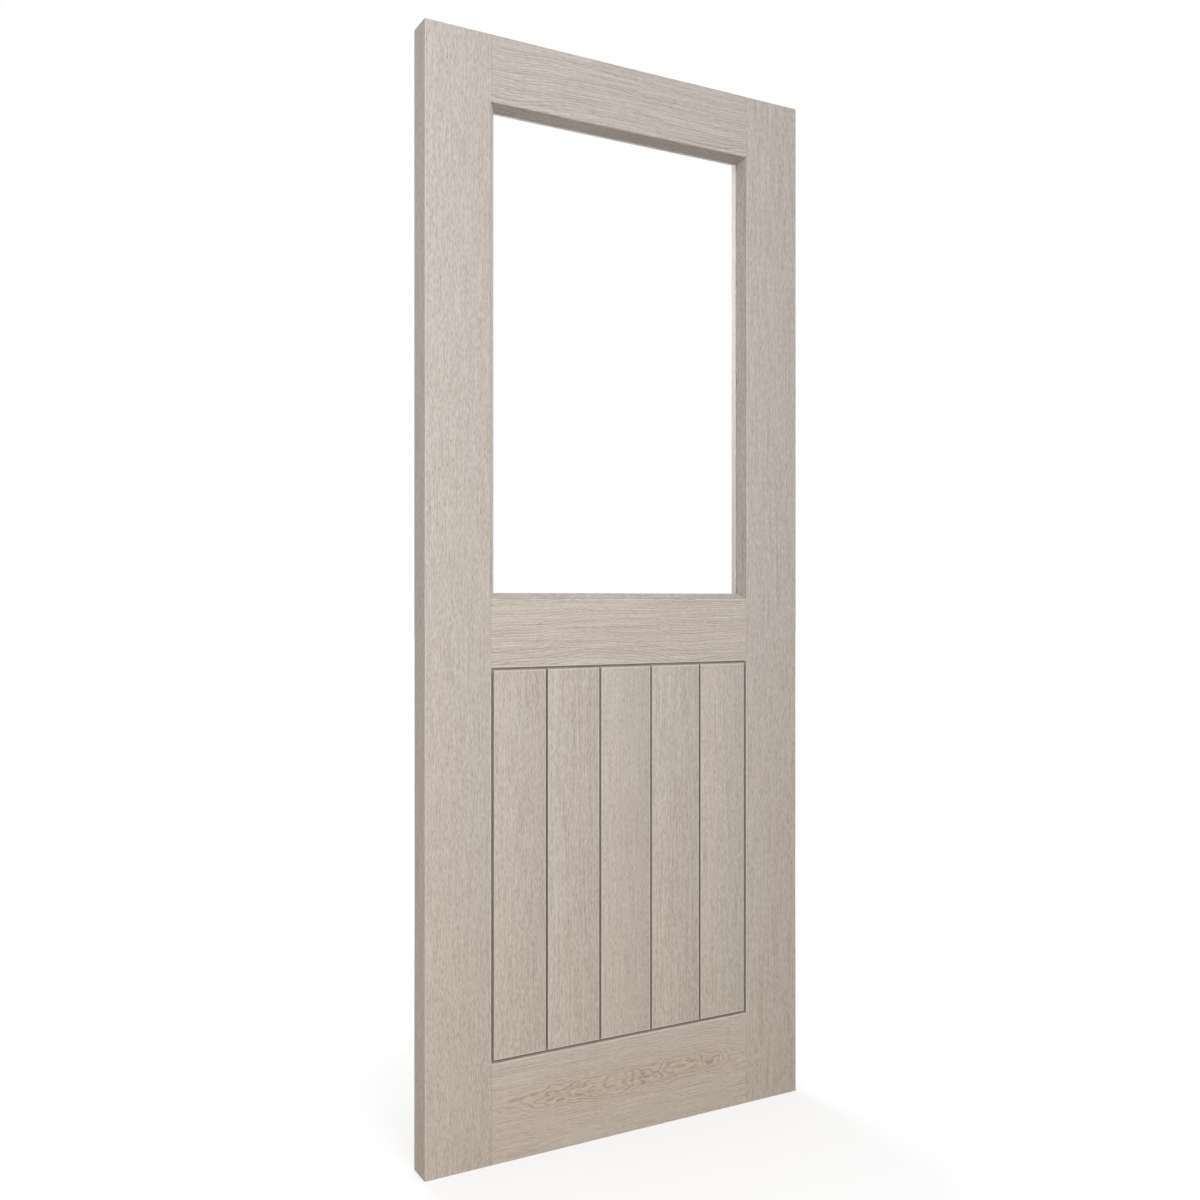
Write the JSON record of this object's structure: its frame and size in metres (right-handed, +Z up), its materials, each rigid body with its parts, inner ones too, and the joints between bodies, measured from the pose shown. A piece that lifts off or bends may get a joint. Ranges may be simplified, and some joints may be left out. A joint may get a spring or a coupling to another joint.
{
  "type": "half-glazed interior door leaf",
  "caption": "Half-glazed oak door leaf with a clear pane in mitred splayed beads over a V-jointed boarded panel.",
  "frame": {"origin": "foot of the hanging edge: on the flat edge face of the left stile, at mid thickness, level with the foot of the leaf", "axes": "+X from the hanging edge to the closing edge, +Y from the front face to the back face, +Z up"},
  "size_m": [0.813, 0.054, 2.032],
  "materials": {
    "stile_oak": "limed, satin matt",
    "rail_oak": "limed, satin matt",
    "board_oak": "limed, satin matt",
    "bead_oak": "limed, satin matt",
    "core_board": "sanded board",
    "clear_glass": "clear float, polished",
    "block_hardwood": "planed"
  },
  "bodies": {
    "root": {"left_stile": "stile_oak", "right_stile": "stile_oak", "top_rail": "rail_oak", "mid_rail": "rail_oak", "bottom_rail": "rail_oak", "front_board_1": "board_oak", "front_board_2": "board_oak", "front_board_3": "board_oak", "front_board_4": "board_oak", "front_board_5": "board_oak", "back_board_1": "board_oak", "back_board_2": "board_oak", "back_board_3": "board_oak", "back_board_4": "board_oak", "back_board_5": "board_oak", "panel_core": "core_board", "glass_pane": "clear_glass", "glass_setting_blocks": "block_hardwood", "front_bead_bottom": "bead_oak", "front_bead_right": "bead_oak", "front_bead_top": "bead_oak", "front_bead_left": "bead_oak", "back_bead_bottom": "bead_oak", "back_bead_right": "bead_oak", "back_bead_top": "bead_oak", "back_bead_left": "bead_oak"}
  },
  "joints": []
}
